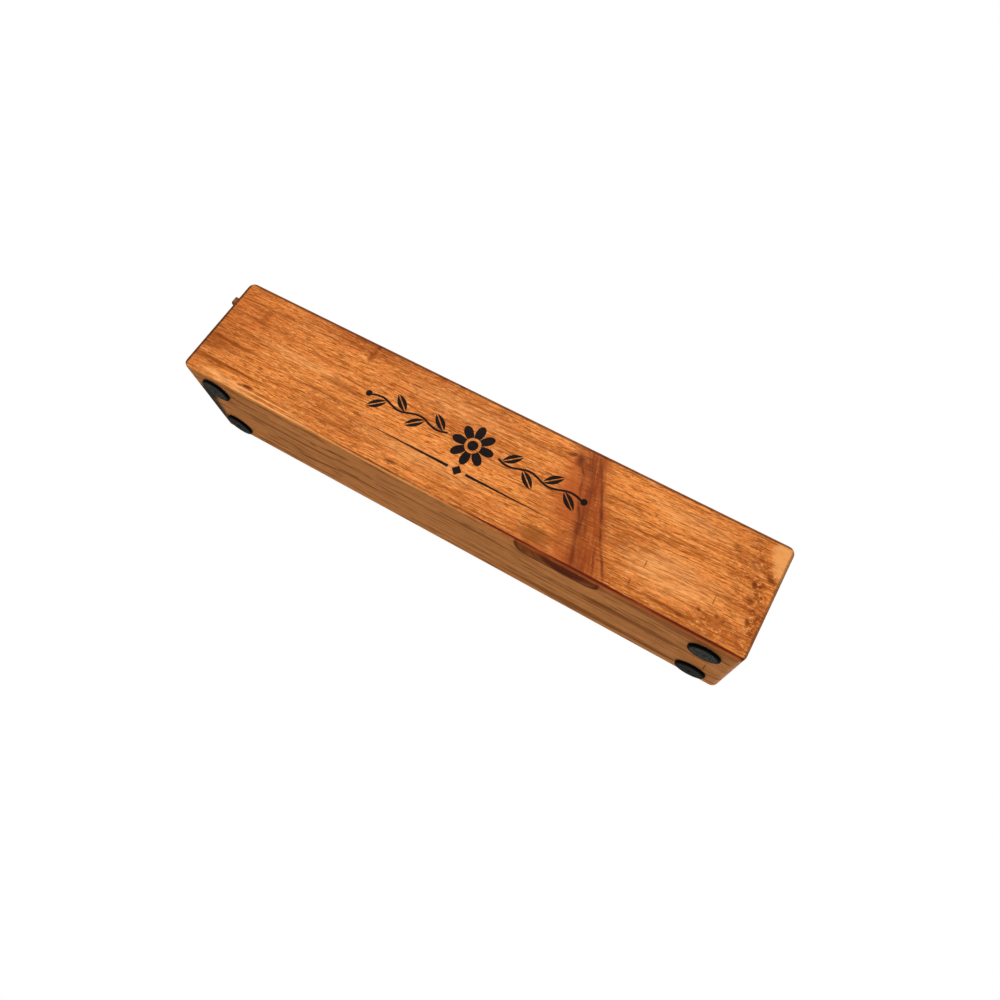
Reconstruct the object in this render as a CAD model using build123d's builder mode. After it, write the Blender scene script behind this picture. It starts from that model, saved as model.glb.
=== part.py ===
from build123d import *
import os

# A wooden pencil box: one block with a routed trough, a lid that slides in grooves, and four
# round rubber pads. Lengths are in millimetres and angles in degrees. The box stands on its
# pads with +Z up, its front face looks towards -Y, and the lid slides out towards -X. The
# origin lies under the middle of the whole box, on the surface that it stands on.

# Block
body_length = 216.0
body_width = 43.4
body_height = 41.1
body_corner_radius = 2.6
outer_edge_radius = 0.9

# Trough in the block
side_wall = 8.2
left_end_wall = 9.0
right_end_wall = 9.0
trough_floor_thickness = 7.0
trough_corner_radius = 6.35
trough_floor_radius = 3.0
opening_edge_radius = 0.7

# Groove for the lid, below a lip on each side
lip_height = 5.9
groove_height = 3.2
groove_depth = 3.2

# Lid
lid_overhang = 6.0
lid_corner_radius = 1.6
lid_edge_radius = 0.7
lid_clearance_below = 0.1
lid_clearance_above = 0.25
lid_clearance_side = 0.25
lid_clearance_end = 0.3
lid_cut_margin = 10.0

# Thumb notch, a round cutter let into the lid at a slope
thumb_notch_radius = 9.0
thumb_notch_slope = 14.0
thumb_notch_from_end = 25.5
thumb_notch_reach = 20.0

# Rubber pads and the adhesive film that holds them
pad_radius = 5.6
pad_thickness = 1.05
pad_edge_radius = 0.45
adhesive_radius = 5.3
adhesive_thickness = 0.15
pad_inset_from_end = 11.0
pad_inset_from_side = 8.7

# The front left pad sits a little off its place, as pads stuck on by hand do
front_left_pad_drift_x = 1.6
front_left_pad_drift_y = -1.4

# Places along X, from the lid's free end to the block's right end
box_length = body_length + lid_overhang
lid_left = -box_length / 2
body_left = lid_left + lid_overhang
body_right = body_left + body_length
body_middle = (body_left + body_right) / 2
trough_left = body_left + left_end_wall
trough_right = body_right - right_end_wall
groove_right = trough_right + groove_depth

# Places across Y, half widths from the box's long middle plane
trough_half_width = body_width / 2 - side_wall
groove_half_width = trough_half_width + groove_depth

# Heights from the surface that the box stands on
wood_bottom = pad_thickness + adhesive_thickness
trough_floor = wood_bottom + trough_floor_thickness
wood_top = wood_bottom + body_height
groove_top = wood_top - lip_height
groove_bottom = groove_top - groove_height
groove_corner_radius = trough_corner_radius + groove_depth

os.makedirs("parts", exist_ok=True)


# Box body
def round_ended_area(left, right, half_width, corner_radius):
    """A flat area from left to right, rounded at its two right corners and square at its left."""
    with BuildSketch() as area:
        with Locations(((left + right) / 2, 0)):
            Rectangle(right - left, 2 * half_width)
        right_corners = area.vertices().group_by(Axis.X)[-1]
        fillet(right_corners, corner_radius)
    return area.sketch


cut_left = body_left - lid_cut_margin
opening_area = round_ended_area(cut_left, trough_right, trough_half_width, trough_corner_radius)
groove_area = round_ended_area(cut_left, groove_right, groove_half_width, groove_corner_radius)

with BuildPart() as box_body:
    # The block, round at the corners of its front and back, with all its long edges eased
    with BuildSketch(Plane.XZ):
        with Locations((body_middle, wood_bottom + body_height / 2)):
            RectangleRounded(body_length, body_height, body_corner_radius)
    extrude(amount=body_width / 2, both=True)
    front_and_back = box_body.faces().filter_by(Axis.Y)
    fillet(front_and_back.edges(), outer_edge_radius)

    # The trough, with a rounded foot to its walls
    with BuildSketch(Plane.XY.offset(trough_floor)):
        with Locations(((trough_left + trough_right) / 2, 0)):
            RectangleRounded(trough_right - trough_left, 2 * trough_half_width, trough_corner_radius)
    extrude(amount=groove_bottom - trough_floor, mode=Mode.SUBTRACT)
    floor_face = box_body.faces().filter_by(Plane.XY).filter_by_position(
        Axis.Z, trough_floor, trough_floor, inclusive=(True, True)
    )
    fillet(floor_face.edges(), trough_floor_radius)

    # The grooves and the opening between the lips, both open at the left end
    with BuildSketch(Plane.XY.offset(groove_bottom)):
        add(groove_area)
    extrude(amount=groove_height, mode=Mode.SUBTRACT)
    with BuildSketch(Plane.XY.offset(groove_top)):
        add(opening_area)
    extrude(amount=lip_height, mode=Mode.SUBTRACT)

    # The rim of the opening is eased along both lips and round the closed right end
    rim_edges = (
        box_body.faces()
        .sort_by(Axis.Z)[-1]
        .edges()
        .filter_by_position(Axis.Y, -trough_half_width, trough_half_width)
        .filter_by_position(Axis.X, body_left, trough_right)
    )
    fillet(rim_edges, opening_edge_radius)

box_body.part.label = "box_body"
export_step(box_body.part, "parts/box_body.step")


# Sliding lid
tongue_bottom = groove_bottom + lid_clearance_below
tongue_top = groove_top - lid_clearance_above
tongue_right = groove_right - lid_clearance_end
field_right = trough_right - lid_clearance_end
tongue_half_width = groove_half_width - lid_clearance_side
field_half_width = trough_half_width - lid_clearance_side
tongue_corner_radius = groove_corner_radius - lid_clearance_side
field_corner_radius = trough_corner_radius - lid_clearance_side
tongue_area = round_ended_area(lid_left, tongue_right, tongue_half_width, tongue_corner_radius)
field_area = round_ended_area(lid_left, field_right, field_half_width, field_corner_radius)
notch_plane = Plane(
    origin=(lid_left + thumb_notch_from_end, 0, wood_top),
    x_dir=(1, 0, 0),
    z_dir=(0, 0, 1),
).rotated((0, -thumb_notch_slope, 0))

with BuildPart() as sliding_lid:
    with BuildSketch(Plane.XY.offset(tongue_bottom)):
        add(tongue_area)
    extrude(amount=tongue_top - tongue_bottom)
    tongue_end_corners = sliding_lid.edges().filter_by(Axis.Z).group_by(Axis.X)[0]
    fillet(tongue_end_corners, lid_corner_radius)

    # The raised field that fills the opening
    with BuildSketch(Plane.XY.offset(tongue_top)):
        add(field_area)
    extrude(amount=wood_top - tongue_top)

    # The field's end corners and top are eased, and so is the foot of the tongue
    field_sides = sliding_lid.edges().filter_by(Axis.Z).filter_by_position(Axis.Z, tongue_top, wood_top)
    field_end_corners = field_sides.group_by(Axis.X)[0]
    fillet(field_end_corners, lid_edge_radius)
    field_top = sliding_lid.faces().sort_by(Axis.Z)[-1]
    fillet(field_top.edges(), lid_edge_radius)
    tongue_foot = sliding_lid.faces().sort_by(Axis.Z)[0]
    fillet(tongue_foot.edges(), lid_edge_radius)

    # The thumb notch, deep towards the free end and running out away from it
    with BuildSketch(notch_plane):
        Circle(thumb_notch_radius)
    extrude(amount=thumb_notch_reach, mode=Mode.SUBTRACT)

sliding_lid.part.label = "sliding_lid"
export_step(sliding_lid.part, "parts/sliding_lid.step")


# Rubber pads, each on its own disc of adhesive film
pad_left = body_left + pad_inset_from_end
pad_right = body_right - pad_inset_from_end
pad_front = -body_width / 2 + pad_inset_from_side
pad_back = body_width / 2 - pad_inset_from_side
pad_places = {
    "front_left": (pad_left + front_left_pad_drift_x, pad_front + front_left_pad_drift_y),
    "front_right": (pad_right, pad_front),
    "back_left": (pad_left, pad_back),
    "back_right": (pad_right, pad_back),
}

for place_name, pad_centre in pad_places.items():
    with BuildPart() as pad:
        with BuildSketch():
            with Locations(pad_centre):
                Circle(pad_radius)
        extrude(amount=pad_thickness)
        fillet(pad.edges().group_by(Axis.Z)[0], pad_edge_radius)
    pad.part.label = f"pad_{place_name}"
    export_step(pad.part, f"parts/{pad.part.label}.step")

    with BuildPart() as adhesive:
        with BuildSketch(Plane.XY.offset(pad_thickness)):
            with Locations(pad_centre):
                Circle(adhesive_radius)
        extrude(amount=adhesive_thickness)
    adhesive.part.label = f"adhesive_{place_name}"
    export_step(adhesive.part, f"parts/{adhesive.part.label}.step")
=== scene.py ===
import math
from collections import namedtuple
from functools import partial

import bpy
import numpy as np
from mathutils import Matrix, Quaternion, Vector


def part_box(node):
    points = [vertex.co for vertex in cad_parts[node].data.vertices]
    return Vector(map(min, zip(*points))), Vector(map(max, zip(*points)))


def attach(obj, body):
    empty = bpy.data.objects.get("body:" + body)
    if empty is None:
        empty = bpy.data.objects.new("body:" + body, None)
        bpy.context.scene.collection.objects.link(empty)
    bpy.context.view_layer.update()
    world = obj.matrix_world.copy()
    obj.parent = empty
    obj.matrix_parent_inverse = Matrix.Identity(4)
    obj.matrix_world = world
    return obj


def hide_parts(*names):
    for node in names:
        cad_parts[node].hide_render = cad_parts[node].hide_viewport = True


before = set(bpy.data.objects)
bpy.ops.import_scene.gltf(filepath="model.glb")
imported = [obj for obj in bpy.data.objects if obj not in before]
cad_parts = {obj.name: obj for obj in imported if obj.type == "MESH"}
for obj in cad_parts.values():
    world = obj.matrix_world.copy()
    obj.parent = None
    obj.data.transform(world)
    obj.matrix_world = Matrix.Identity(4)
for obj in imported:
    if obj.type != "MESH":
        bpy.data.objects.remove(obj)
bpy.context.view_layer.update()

# Lengths in materials are in millimetres, measured on the block from its left end (x), its front
# face (y) and its bottom (z), which is how the marks were noted from the photograph.
MM = 0.001
body_low, body_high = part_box("box_body")
BLOCK_WIDTH = (body_high.y - body_low.y) / MM
BLOCK_HEIGHT = (body_high.z - body_low.z) / MM


# Camera: below the box's base, looking up at the front face and the underside
CAMERA_PLACE = Vector((82.29, -255.09, -67.65)) * MM
CAMERA_AIM = Vector((26.72, -21.7, 14.4)) * MM
CAMERA_ROLL = 31.86
CAMERA_LENS = 28.08
CAMERA_SHIFT = -0.02
SENSOR_WIDTH = 36.0

# Light: an even white surround and three soft lamps, which leave a face turned to the front at
# the colour that it is written in, and the underside at about half of it
SURROUND_LEVEL = 0.42
WHITE_LEVEL = 1.0
WHITE = (1.0, 1.0, 1.0, 1.0)

# A lamp's place and size are in metres and its power in watts
Lamp = namedtuple("Lamp", "name place size power")
LAMPS = [
    Lamp("key_lamp", (-0.35, -1.15, 0.75), 0.9, 18.6),
    Lamp("top_lamp", (0.3, 0.1, 1.4), 1.0, 1.5),
    Lamp("back_lamp", (0.5, 1.2, 0.35), 0.9, 10.0),
]


def linear(code):
    """The sRGB colour of a hex code, as linear light with an alpha of 1."""
    parts = [int(code[i:i + 2], 16) / 255 for i in (1, 3, 5)]
    light = [p / 12.92 if p <= 0.04045 else ((p + 0.055) / 1.055) ** 2.4 for p in parts]
    return (*light, 1.0)


def add_node(tree, kind, *values, out=0, named=None, **settings):
    """Adds one node and gives back one of its outputs, if it has any. A math node's kind has its
    operation after a space. Values are numbers, colours or other nodes' outputs for its live
    inputs in order (a noise node's are its point, scale, detail and roughness), named are the
    same by the input's name, and settings are the node's own properties."""
    kind, *operation = kind.split()
    node = tree.nodes.new("ShaderNode" + kind)
    if operation:
        settings["operation"] = operation[0]
    for name, value in settings.items():
        setattr(node, name, value)
    live = [socket for socket in node.inputs if socket.enabled]
    pairs = list(zip(live, values))
    pairs += [(node.inputs[name], value) for name, value in (named or {}).items()]
    for socket, value in pairs:
        if isinstance(value, bpy.types.NodeSocket):
            tree.links.new(value, socket)
        else:
            socket.default_value = value
    if isinstance(out, str):
        return node.outputs[out]
    outputs = [socket for socket in node.outputs if socket.enabled]
    return outputs[out] if outputs else None


SMOOTH = {"interpolation_type": "SMOOTHSTEP"}


def emptied(owner):
    """Clears the nodes of a material or world, and gives back what adds a node to it."""
    owner.use_nodes = True
    owner.node_tree.nodes.clear()
    return partial(add_node, owner.node_tree)


def new_material(name):
    """A node material and what adds a node to it."""
    material = bpy.data.materials.new(name)
    return material, emptied(material)


def block_point(add):
    """The shaded point in millimetres from the block's left end, front face and bottom."""
    place = add("TexCoord", out="Object")
    scale = (1 / MM, 1 / MM, 1 / MM)
    shift = -body_low / MM
    return add("Mapping", place, tuple(shift), (0, 0, 0), scale, vector_type="POINT")


def product(add, *masks):
    """Masks multiplied together, so that only what lies in all of them is left."""
    together = masks[0]
    for mask in masks[1:]:
        together = add("Math MULTIPLY", together, mask)
    return together


def laid(add, colour, tone, *masks):
    """The colour with a tone laid over it, as far as the masks multiplied together let it."""
    mask = product(add, *masks)
    return add("Mix", mask, colour, tone, data_type="RGBA")


# Noise in cells of a length along the grain and a width across it, in mm. Its seed moves it to a
# part of the noise of its own, further in y and z than in x.
Cells = namedtuple("Cells", "length width seed detail roughness", defaults=(3.0, 0.5))
SEED_SPREAD = (1.0, 1.7, 2.3)

# How a mask follows a value: it goes from least to most as the value goes from start to full
Rise = namedtuple("Rise", "start full least most", defaults=(0.0, 1.0))


def stretched(add, point, cells, seed=0.0):
    """Noise drawn out along the grain, in those cells."""
    scale = (1 / cells.length, 1 / cells.width, 1 / cells.width)
    place = [(seed + cells.seed) * spread for spread in SEED_SPREAD]
    near = add("Mapping", point, place, (0, 0, 0), scale)
    return add("TexNoise", near, 1.0, cells.detail, cells.roughness)


def figure(add, point, cells, rise, seed=0.0):
    """One layer of the wood's figure: the mask of noise drawn out along the grain."""
    noise = stretched(add, point, cells, seed)
    return add("MapRange", noise, *rise, **SMOOTH)


# Noise that moves a point about, up to half of amount each way, in cells of that length and width
# in mm
Shake = namedtuple("Shake", "length width amount seed")
BODY_WAVY = Shake(7.0, 1.6, 1.1, 2.0)
BODY_RAGGED = Shake(2.4, 1.6, 3.4, 5.0)
LID_WAVY = Shake(7.0, 1.6, 1.1, 23.0)


def shaken(add, point, shake):
    """The point moved about, so that what is drawn there gets a wavy or ragged edge."""
    scale = (1 / shake.length, 1 / shake.width, 1 / shake.width)
    place = (shake.seed, shake.seed, shake.seed)
    near = add("Mapping", point, place, (0, 0, 0), scale)
    noise = add("TexNoise", near, 1.0, 3.0, out="Color")
    least, reach = -shake.amount / 2, shake.amount
    move = add("Mapping", noise, (least, least, least), (0, 0, 0), (reach, reach, reach))
    return add("Mapping", point, move)


def spot(add, point, start, end, half_y, half_z, core):
    """1 inside a long ellipsoid from start to end, with those half widths, and 0 outside it. It
    is solid out to core times its size and fades from there."""
    turn = (end - start).to_track_quat("X", "Z").to_euler()
    middle = (start + end) / 2
    sizes = ((end - start).length / 2, half_y, half_z)
    near = add("Mapping", point, middle, turn, sizes, vector_type="TEXTURE")
    rise = add("TexGradient", near, out="Fac", gradient_type="SPHERICAL")
    return add("MapRange", rise, 0.0, 1.0 - core, 0.0, 1.0, **SMOOTH)


# A face lies at one y and z, and its marks reach in to its depth. The rim is the front again for
# marks that stay shallow, and the corner is the underside again for marks that reach up round it.
Face = namedtuple("Face", "y z upright depth")
FRONT = Face(0, 0, True, 5.0)
RIM = Face(0, 0, True, 1.3)
UNDER = Face(0, 0, False, 3.0)
CORNER = Face(0, 0, False, 5.0)
BACK = Face(BLOCK_WIDTH, 0, True, 5.0)
TOP = Face(0, BLOCK_HEIGHT, False, 3.0)

# Marks of one kind on a face, all solid out to core times their size. Each is x0, s0, x1, s1,
# half and strength: it runs from x0, s0 to x1, s1, where s is the height on the front and back
# and the distance from the front face on the underside and top, and half is half its width.
Marks = namedtuple("Marks", "face core places")


def mark_mask(add, point, marks, before=0.0):
    """One mask, 0 to 1, for all the marks of a kind, each with its own strength, laid over the
    mask before."""
    face = marks.face
    across, up = (0, 1) if face.upright else (1, 0)
    together = before
    for x0, s0, x1, s1, half, strength in marks.places:
        start = Vector((x0, face.y + across * s0, face.z + up * s0))
        end = Vector((x1, face.y + across * s1, face.z + up * s1))
        halves = (face.depth, half) if face.upright else (half, face.depth)
        shape = spot(add, point, start, end, *halves, marks.core)
        mask = add("Math MULTIPLY", shape, strength)
        together = add("Math MAXIMUM", together, mask)
    return together


def marked(add, point, marks, colour, tone):
    """The colour with the marks of one kind laid over it in their tone."""
    return laid(add, colour, tone, mark_mask(add, point, marks))


# Brown streaks that lie along the grain of the front face
FRONT_STREAKS = Marks(FRONT, 0.3, [
    (-10, 16.4, 30, 15.6, 1.1, 1),
    (-10, 15.2, 18, 14.4, 3.6, 0.75),
    (-8, 12.6, 12, 12, 3, 0.7),
    (6, 12.7, 18, 12.4, 0.9, 0.6),
    (-10, 7.4, 36, 6.8, 0.9, 1),
    (-8, 7, 18, 6.2, 1.9, 0.75),
    (8, 6, 16, 5.9, 0.7, 0.6),
    (8, 27.7, 21, 27.9, 0.8, 0.9),
    (24, 27.1, 33, 27, 0.5, 0.7),
    (36, 26.8, 49, 26.9, 0.5, 0.7),
    (42, 23.6, 74, 23.5, 0.5, 0.75),
    (24, 18.7, 45, 18.9, 0.5, 0.6),
    (44, 20.8, 70, 20.2, 2.2, 0.55),
    (34, 14.6, 68, 14.9, 0.6, 0.85),
    (34, 5.7, 84, 6.4, 1.2, 0.6),
    (40, 37, 60, 37.1, 0.7, 0.65),
    (14, 35.3, 30, 35.1, 0.8, 0.55),
    (30, 39.2, 78, 39.4, 1, 0.5),
    (172, 35.8, 206, 33.3, 0.7, 0.8),
    (155, 22.5, 192, 23.2, 0.6, 0.9),
    (166, 18.3, 194, 18, 0.5, 0.8),
    (163, 9.2, 182, 10.9, 0.9, 0.75),
    (150, 28.7, 172, 29.4, 0.7, 0.65),
    (176, 4.6, 199, 4, 1.2, 0.7),
    (108, 33.6, 142, 34.2, 0.6, 0.6),
    (92, 36, 124, 36.3, 0.5, 0.6),
    (78, 4.4, 124, 5, 0.8, 0.5),
    (60, 29.8, 96, 30.1, 0.6, 0.5),
    (154, 14.2, 176, 14.6, 0.6, 0.6),
    (160, 26.2, 200, 26, 0.6, 0.6),
])

# Broad darker places of the front face
FRONT_SHADES = Marks(FRONT, 0.0, [
    (-34, 26, 38, 28, 26, 1),
    (14, 40, 100, 38, 9, 0.75),
    (126, 20, 176, 16, 24, 0.45),
    (40, 21, 74, 20, 4, 0.4),
])

# Small knots, and smears that cross the grain
FRONT_SPOTS = Marks(FRONT, 0.2, [
    (23.2, 3.5, 30.2, 3.9, 1.1, 1),
    (21.8, 3.1, 26, 3.4, 0.7, 0.8),
    (57.4, 40, 60, 39.4, 1, 1),
    (83.6, 4, 90.4, 4.4, 1.1, 0.85),
    (196, 8.5, 198.4, 8.5, 0.9, 0.8),
    (201.6, 9.2, 204.4, 9.1, 0.9, 0.8),
    (190.6, 4, 195, 4.2, 1.1, 0.8),
    (211, 29.4, 214, 25.8, 1.3, 0.75),
    (208.2, 25, 210, 22.2, 1.1, 0.8),
    (209.8, 21.6, 212, 19.8, 1, 0.7),
    (210.8, 14.2, 212.4, 10, 1.1, 0.85),
    (205.2, 32.4, 208.4, 26.8, 1.7, 0.35),
    (208.4, 20.4, 211, 16.6, 1.6, 0.6),
    (203.6, 9.6, 206.4, 8.2, 1.3, 0.5),
])
FRONT_SMEARS = Marks(FRONT, 0.0, [
    (58, 43, 58.6, 30, 1.9, 0.9),
    (14.4, 35, 15.2, 26, 2.2, 0.6),
    (110.4, 42.5, 110.8, 35, 2, 0.5),
    (85.5, 42.5, 85.9, 36.5, 2, 0.5),
])

# The ragged stain beside the right end
FRONT_STAIN = Marks(FRONT, 0.2, [
    (201, 41.5, 211, 31, 3.4, 0.5),
    (204, 36, 214, 26.6, 2.8, 0.75),
    (210.4, 31.4, 216.4, 24.6, 2, 1),
    (206.5, 27.6, 213.6, 20.8, 3, 1),
    (208, 23.4, 215.8, 16.6, 3.4, 1),
    (209.8, 20, 216, 10, 2.6, 1),
    (210.6, 14, 217, 6, 2.2, 0.95),
    (199, 38, 213, 8, 7, 0.5),
    (188, 6.4, 218, 4.6, 5.6, 0.6),
    (208, 9, 216, 1, 3.6, 0.7),
])

# Hairline checks across the grain
FRONT_CHECKS = Marks(FRONT, 0.0, [
    (176.9, 11.4, 176.8, 15.8, 0.3, 0.9),
    (175, 3.6, 174.9, 8.2, 0.3, 0.9),
    (200.3, 10.6, 200.2, 16.2, 0.3, 0.9),
    (172.6, 28.6, 172.7, 31.4, 0.3, 0.7),
    (126, 6.7, 163, 6.3, 0.28, 0.85),
])

# Lighter places on the front face
FRONT_LIGHT = Marks(FRONT, 0.2, [
    (2, 2.6, 34, 2, 2.4, 0.7),
    (22, 33.6, 39, 33.9, 1, 0.6),
    (16, 22.2, 60, 21.6, 2.6, 0.5),
    (60, 10.5, 130, 10.5, 5, 0.35),
    (54, 34, 58, 34, 1.2, 0.5),
    (162, 13, 208, 14.5, 9, 0.5),
    (164, 34, 204, 33, 5, 0.3),
    (205.8, 29.8, 208.6, 29.6, 1.1, 0.7),
    (66, 33, 130, 32, 5, 0.3),
])
FRONT_CORNER_LIGHT = Marks(FRONT, 0.5, [(210.6, 45, 217.6, 25.5, 4.6, 0.95)])

# Along the front's lower edge: painted highlight lines on the left, which thin out to the right, a
# dark line that grows stronger to the right, and a red band below it. The rim lines are painted
# shade along the upper edge and both ends, and start far past the corners so that they are even
# all along.
EDGE_HIGHLIGHT_LINES = Marks(FRONT, 0.2, [
    (2, 0.8, 72, 0.8, 0.5, 0.8),
    (50, 0.35, 132, 0.35, 0.32, 0.75),
    (4, 2.6, 66, 2.4, 0.4, 0.7),
])
EDGE_DARK_LINES = Marks(FRONT, 0.3, [
    (48, 1, 118, 1, 0.4, 0.7),
    (104, 1, 160, 1.1, 0.5, 1),
    (128, 1.1, 200, 1.15, 0.58, 1),
    (160, 1.15, 240, 1.1, 0.62, 1),
])
# Painted shade along the rims, where the rounded edges turn away from the light
EDGE_RIM_SHADE_LINES = Marks(RIM, 0.45, [
    (-180, 40.5, 396, 40.5, 0.8, 0.8),
    (0.75, 90, 0.75, -50, 0.85, 0.9),
    (215.5, 90, 215.5, -50, 0.7, 0.5),
])
EDGE_RED_BAND = Marks(FRONT, 0.45, [(118, 0.2, 236, 0.2, 1.4, 1)])

# Brown streaks, dark lines and lighter places of the underside
UNDER_STREAKS = Marks(UNDER, 0.4, [
    (36, 32, 68, 25.4, 1.4, 0.8),
    (58, 25.4, 84, 24.8, 0.9, 0.7),
    (8, 17, 64, 17.2, 2.2, 0.5),
    (104, 24.2, 143, 24, 0.6, 0.7),
    (160, 17, 185, 17.1, 0.6, 0.95),
    (152, 18.6, 210, 18.4, 3, 0.7),
    (180, 7.1, 203, 7.1, 0.5, 0.9),
    (112, 36.5, 208, 36.2, 3.4, 0.65),
    (176, 36.8, 203, 36.6, 2.6, 0.75),
    (51.6, 12.1, 56.2, 12.1, 0.7, 0.9),
    (59, 9.8, 67, 8.8, 1.1, 1),
    (53, 11.2, 73, 8.2, 1, 0.6),
    (208, 19, 208.3, 30.4, 0.35, 0.8),
    (16, 38, 64, 37.5, 1.6, 0.45),
    (162, 1.8, 232, 1.8, 4.4, 0.45),
    (78, 14.6, 120, 14.2, 0.8, 0.5),
    (90, 31, 150, 30.4, 0.9, 0.45),
    (120, 12.6, 164, 12.2, 0.7, 0.5),
])
UNDER_LIGHT = Marks(UNDER, 0.0, [
    (84, 28, 200, 27.4, 2.4, 0.45),
    (70, 20.6, 130, 20.2, 1.6, 0.35),
    (172, 5, 204, 5, 0.7, 0.6),
    (140, 9.4, 204, 9.6, 1, 0.35),
    (168, 13.4, 204, 13.2, 1, 0.35),
])

# Black marks by the two left pads, where the underside turns up into the end
UNDER_LEFT_DARK = Marks(CORNER, 0.4, [
    (7, 6, 3, 26, 4.4, 1),
    (4.2, 12, 1.6, 44, 4.6, 0.95),
])

# Marks of the faces that the photograph doesn't show, of the same kinds
BACK_STREAKS = Marks(BACK, 0.2, [
    (12, 30, 58, 29.4, 0.9, 0.7),
    (40, 11, 110, 12.2, 1.4, 0.6),
    (96, 26.6, 150, 27.4, 0.7, 0.7),
    (138, 17.4, 204, 16.4, 1.6, 0.6),
    (168, 33.6, 212, 33, 0.8, 0.7),
    (64, 36.4, 120, 37, 1, 0.5),
])
BACK_SPOTS = Marks(BACK, 0.2, [
    (71, 21.4, 77.4, 21.9, 1.6, 0.95),
    (182, 8.6, 186, 8.8, 1, 0.85),
])
TOP_SPOTS = Marks(TOP, 0.2, [(134, 2.4, 139, 2.6, 0.9, 0.9)])
LID_STREAKS = Marks(TOP, 0.0, [
    (30, 16, 96, 15.2, 0.8, 0.6),
    (88, 27.4, 160, 28.4, 1.1, 0.6),
    (120, 20.6, 190, 20, 0.6, 0.6),
])
LID_SPOTS = Marks(TOP, 0.2, [(149, 24.6, 155.6, 25, 1.8, 0.95)])

# The spike knot leans across the front face: its middle and half width at its foot, and how they
# change with each mm of height
SPIKE_FOOT_X = 159.6
SPIKE_LEAN = -0.372
SPIKE_FOOT_HALF = 9.0
SPIKE_TAPER = -0.075

# It fades out across, as a share of its half width, and into the block, and is paler on its left
SPIKE_EDGE = Rise(1.35, 0.55)
SPIKE_SKIN = Rise(6.0, 2.0)
SPIKE_LEFT = Rise(-0.6, 0.1, 0.35)

# Its own fibre, in cells for each mm across, in and up, and how much of its tones that lets show
SPIKE_FIBRE = (0.9, 0.5, 0.09)
SPIKE_STRENGTH = Rise(0.34, 0.64, 0.5)

# Dark lines in the spike knot and the hook at its top
SPIKE_LINES = Marks(FRONT, 0.0, [
    (135.8, 35, 142.4, 37.6, 1.5, 0.9),
    (140, 40, 144.4, 31.2, 2.7, 1),
    (142, 36, 146.8, 29, 0.9, 0.85),
    (144.6, 33, 149.2, 20.4, 0.8, 0.75),
    (147, 25, 152.8, 14.2, 0.9, 0.85),
    (150.4, 20, 155, 6.2, 1.1, 0.85),
    (153, 12, 158, -2, 0.9, 0.8),
    (147, 41, 153, 29.4, 0.9, 0.8),
    (150.6, 35, 157.2, 21.4, 0.8, 0.85),
    (154.6, 27.4, 160, 15, 1, 1),
    (157.4, 21, 163.2, 8.4, 0.8, 0.9),
    (160.8, 14, 169.4, -1, 0.8, 0.9),
    (159.6, 12.4, 165.2, -1, 0.7, 0.75),
])

# Smoky places in it, the orange round it and the brown blotch at its foot
SPIKE_SMOKE = Marks(FRONT, 0.0, [
    (144.6, 43, 149.6, 26, 5.6, 0.85),
    (148.6, 33, 152.6, 19, 3.8, 0.7),
    (150, 27, 155, 6, 4.2, 0.9),
    (153, 14, 160, -6, 5, 0.65),
])
SPIKE_HALO = Marks(FRONT, 0.0, [
    (139, 44, 151, 4, 8.6, 0.95),
    (142, 9, 170, -4, 7, 0.8),
    (126, 2.4, 160, 0.6, 3, 0.7),
])
SPIKE_BLOTCH = Marks(FRONT, 0.4, [
    (133.5, 4.6, 149.5, 4.2, 3.6, 0.8),
    (136, 7, 146, 6.6, 1.6, 0.7),
])

# The knot in the front edge, seen cut across on the underside. Inside, low and rim are how its
# mask follows the reach from its middle, the height, and the reach again.
KNOT_MIDDLE = (152.3, 0.0, 0.0)
KNOT_HALVES = (15.2, 7.6, 6.0)
KNOT_INSIDE = Rise(1.04, 0.96, 0.0, 0.95)
KNOT_LOW = Rise(1.1, 0.6)
KNOT_RIM = Rise(0.88, 0.98)
KNOT_CORE = Marks(UNDER, 0.55, [
    (143.6, 1.6, 166, 1.6, 6.8, 0.95),
    (149, 5.8, 161, 5.6, 1.4, 0.95),
])
KNOT_LEFT_RING = Marks(UNDER, 0.2, [
    (139.6, 1, 141.8, 6.8, 0.7, 0.7),
    (142.6, -1, 145, 6, 0.8, 0.6),
])


# Wood: an oiled softwood, sawn, routed and sanded. The oil makes it a warm clear orange, and the
# harder late wood and the open pores stay darker.
OILED = linear("#EC8C41")
OILED_PALE = linear("#FAA557")
OILED_DEEP = linear("#CB6E30")
BAND_BROWN = linear("#B4601F")
LATE_WOOD = linear("#A85A20")
PORE_BROWN = linear("#8E460D")
STREAK_BROWN = linear("#8A400C")
UNDER_BROWN = linear("#86430A")
KNOT_RED = linear("#984518")
KNOT_ORANGE = linear("#B85A26")
KNOT_DARK = linear("#5C1E08")
KNOT_FLESH = linear("#8A4410")
SPOT_BROWN = linear("#70340A")
SHADE_TONE = linear("#DECEBE")
SMOKE_BROWN = linear("#6A2C10")
BLOTCH_BROWN = linear("#94521F")
CHECK_DARK = linear("#5A2C12")
STAIN_BROWN = linear("#883A06")
YELLOW_LIGHT = linear("#FFB46C")
UNDER_TAN = linear("#FFAC64")
CORNER_LIGHT = linear("#E69A56")
EDGE_RED = linear("#9A4322")
EDGE_DARK = linear("#541806")
# Painted shade along the front's rims
RIM_SHADE_BROWN = linear("#4A2614")
END_BROWN = linear("#9A5628")
END_LATE_WOOD = linear("#5E2C0E")
# Painted shade on the lid's end past the block
END_SHADE_BROWN = linear("#5C3A24")
# Darkening at the underside's left end, by the pads
LEFT_END_BLACK = linear("#2E2A24")
ROUTED_PALE = linear("#DDA268")
GRAPHITE = linear("#6A5546")

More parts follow.
